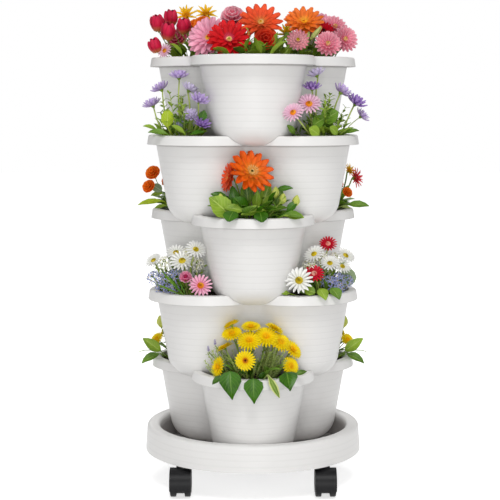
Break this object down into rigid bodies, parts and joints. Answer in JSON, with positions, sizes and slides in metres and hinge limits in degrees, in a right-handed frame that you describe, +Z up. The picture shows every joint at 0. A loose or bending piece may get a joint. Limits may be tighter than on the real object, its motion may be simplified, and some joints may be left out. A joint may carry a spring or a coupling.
{
  "type": "vertical planter tower",
  "caption": "Free-standing tower of stacked three-lobed planter tiers full of flowers, on a round saucer with twin-wheel casters.",
  "frame": {"origin": "on the floor below the middle of the tower", "axes": "+Z up the tower, -Y towards the viewer of the picture, +X to the right"},
  "size_m": [0.4334, 0.4622, 0.9188],
  "materials": {
    "white_plastic": "satin moulded, off-white, with fine level lines",
    "grid_plastic": "satin",
    "black_plastic": "satin",
    "steel": "zinc plated",
    "potting_mix": "loose, dark, damp",
    "plants": "leaves and petals"
  },
  "bodies": {
    "saucer_base": {"saucer": "white_plastic", "caster_grip_rings": "steel", "caster_stem_front_left": "steel", "caster_stem_front_right": "steel", "caster_stem_back_left": "steel", "caster_stem_back_right": "steel"},
    "tier_5_unit": {"tier_5": "white_plastic", "flow_grids_tier_5": "grid_plastic", "potting_mix_tier_5": "potting_mix", "flowers_tier_5_front": "plants", "flowers_tier_5_back_left": "plants", "flowers_tier_5_back_right": "plants"},
    "tier_4_unit": {"tier_4": "white_plastic", "flow_grids_tier_4": "grid_plastic", "potting_mix_tier_4": "potting_mix", "flowers_tier_4_left": "plants", "flowers_tier_4_right": "plants", "flowers_tier_4_back": "plants"},
    "tier_3_unit": {"tier_3": "white_plastic", "flow_grids_tier_3": "grid_plastic", "potting_mix_tier_3": "potting_mix", "flowers_tier_3_front": "plants", "flowers_tier_3_back_left": "plants", "flowers_tier_3_back_right": "plants"},
    "tier_2_unit": {"tier_2": "white_plastic", "flow_grids_tier_2": "grid_plastic", "potting_mix_tier_2": "potting_mix", "flowers_tier_2_left": "plants", "flowers_tier_2_right": "plants", "flowers_tier_2_back": "plants"},
    "tier_1_unit": {"tier_1": "white_plastic", "flow_grids_tier_1": "grid_plastic", "potting_mix_tier_1": "potting_mix", "flowers_tier_1_front": "plants", "flowers_tier_1_back_left": "plants", "flowers_tier_1_back_right": "plants"},
    "caster_front_left": {"caster_housing_front_left": "black_plastic", "caster_axle_front_left": "steel"},
    "wheel_front_left_left": {"caster_wheel_front_left_left": "black_plastic"},
    "wheel_front_left_right": {"caster_wheel_front_left_right": "black_plastic"},
    "caster_front_right": {"caster_housing_front_right": "black_plastic", "caster_axle_front_right": "steel"},
    "wheel_front_right_left": {"caster_wheel_front_right_left": "black_plastic"},
    "wheel_front_right_right": {"caster_wheel_front_right_right": "black_plastic"},
    "caster_back_left": {"caster_housing_back_left": "black_plastic", "caster_axle_back_left": "steel"},
    "wheel_back_left_left": {"caster_wheel_back_left_left": "black_plastic"},
    "wheel_back_left_right": {"caster_wheel_back_left_right": "black_plastic"},
    "caster_back_right": {"caster_housing_back_right": "black_plastic", "caster_axle_back_right": "steel"},
    "wheel_back_right_left": {"caster_wheel_back_right_left": "black_plastic"},
    "wheel_back_right_right": {"caster_wheel_back_right_right": "black_plastic"}
  },
  "joints": [
    {"name": "tier_5_lift", "type": "slide", "parent": "saucer_base", "child": "tier_5_unit", "axis": [0, 0, 1], "range_m": [0, 0.18]},
    {"name": "tier_4_lift", "type": "slide", "parent": "tier_5_unit", "child": "tier_4_unit", "axis": [0, 0, 1], "range_m": [0, 0.18]},
    {"name": "tier_3_lift", "type": "slide", "parent": "tier_4_unit", "child": "tier_3_unit", "axis": [0, 0, 1], "range_m": [0, 0.18]},
    {"name": "tier_2_lift", "type": "slide", "parent": "tier_3_unit", "child": "tier_2_unit", "axis": [0, 0, 1], "range_m": [0, 0.18]},
    {"name": "tier_1_lift", "type": "slide", "parent": "tier_2_unit", "child": "tier_1_unit", "axis": [0, 0, 1], "range_m": [0, 0.18]},
    {"name": "caster_front_left_swivel", "type": "hinge", "parent": "saucer_base", "child": "caster_front_left", "pos_m": [-0.13506, -0.13506, 0.04], "axis": [0, 0, 1], "continuous": true},
    {"name": "wheel_front_left_left_roll", "type": "hinge", "parent": "caster_front_left", "child": "wheel_front_left_left", "pos_m": [-0.13506, -0.15266, 0.025], "axis": [1, 0, 0], "continuous": true},
    {"name": "wheel_front_left_right_roll", "type": "hinge", "parent": "caster_front_left", "child": "wheel_front_left_right", "pos_m": [-0.13506, -0.15266, 0.025], "axis": [1, 0, 0], "continuous": true},
    {"name": "caster_front_right_swivel", "type": "hinge", "parent": "saucer_base", "child": "caster_front_right", "pos_m": [0.13506, -0.13506, 0.04], "axis": [0, 0, 1], "continuous": true},
    {"name": "wheel_front_right_left_roll", "type": "hinge", "parent": "caster_front_right", "child": "wheel_front_right_left", "pos_m": [0.13506, -0.15266, 0.025], "axis": [1, 0, 0], "continuous": true},
    {"name": "wheel_front_right_right_roll", "type": "hinge", "parent": "caster_front_right", "child": "wheel_front_right_right", "pos_m": [0.13506, -0.15266, 0.025], "axis": [1, 0, 0], "continuous": true},
    {"name": "caster_back_left_swivel", "type": "hinge", "parent": "saucer_base", "child": "caster_back_left", "pos_m": [-0.13506, 0.13506, 0.04], "axis": [0, 0, 1], "continuous": true},
    {"name": "wheel_back_left_left_roll", "type": "hinge", "parent": "caster_back_left", "child": "wheel_back_left_left", "pos_m": [-0.13506, 0.11746, 0.025], "axis": [1, 0, 0], "continuous": true},
    {"name": "wheel_back_left_right_roll", "type": "hinge", "parent": "caster_back_left", "child": "wheel_back_left_right", "pos_m": [-0.13506, 0.11746, 0.025], "axis": [1, 0, 0], "continuous": true},
    {"name": "caster_back_right_swivel", "type": "hinge", "parent": "saucer_base", "child": "caster_back_right", "pos_m": [0.13506, 0.13506, 0.04], "axis": [0, 0, 1], "continuous": true},
    {"name": "wheel_back_right_left_roll", "type": "hinge", "parent": "caster_back_right", "child": "wheel_back_right_left", "pos_m": [0.13506, 0.11746, 0.025], "axis": [1, 0, 0], "continuous": true},
    {"name": "wheel_back_right_right_roll", "type": "hinge", "parent": "caster_back_right", "child": "wheel_back_right_right", "pos_m": [0.13506, 0.11746, 0.025], "axis": [1, 0, 0], "continuous": true}
  ]
}
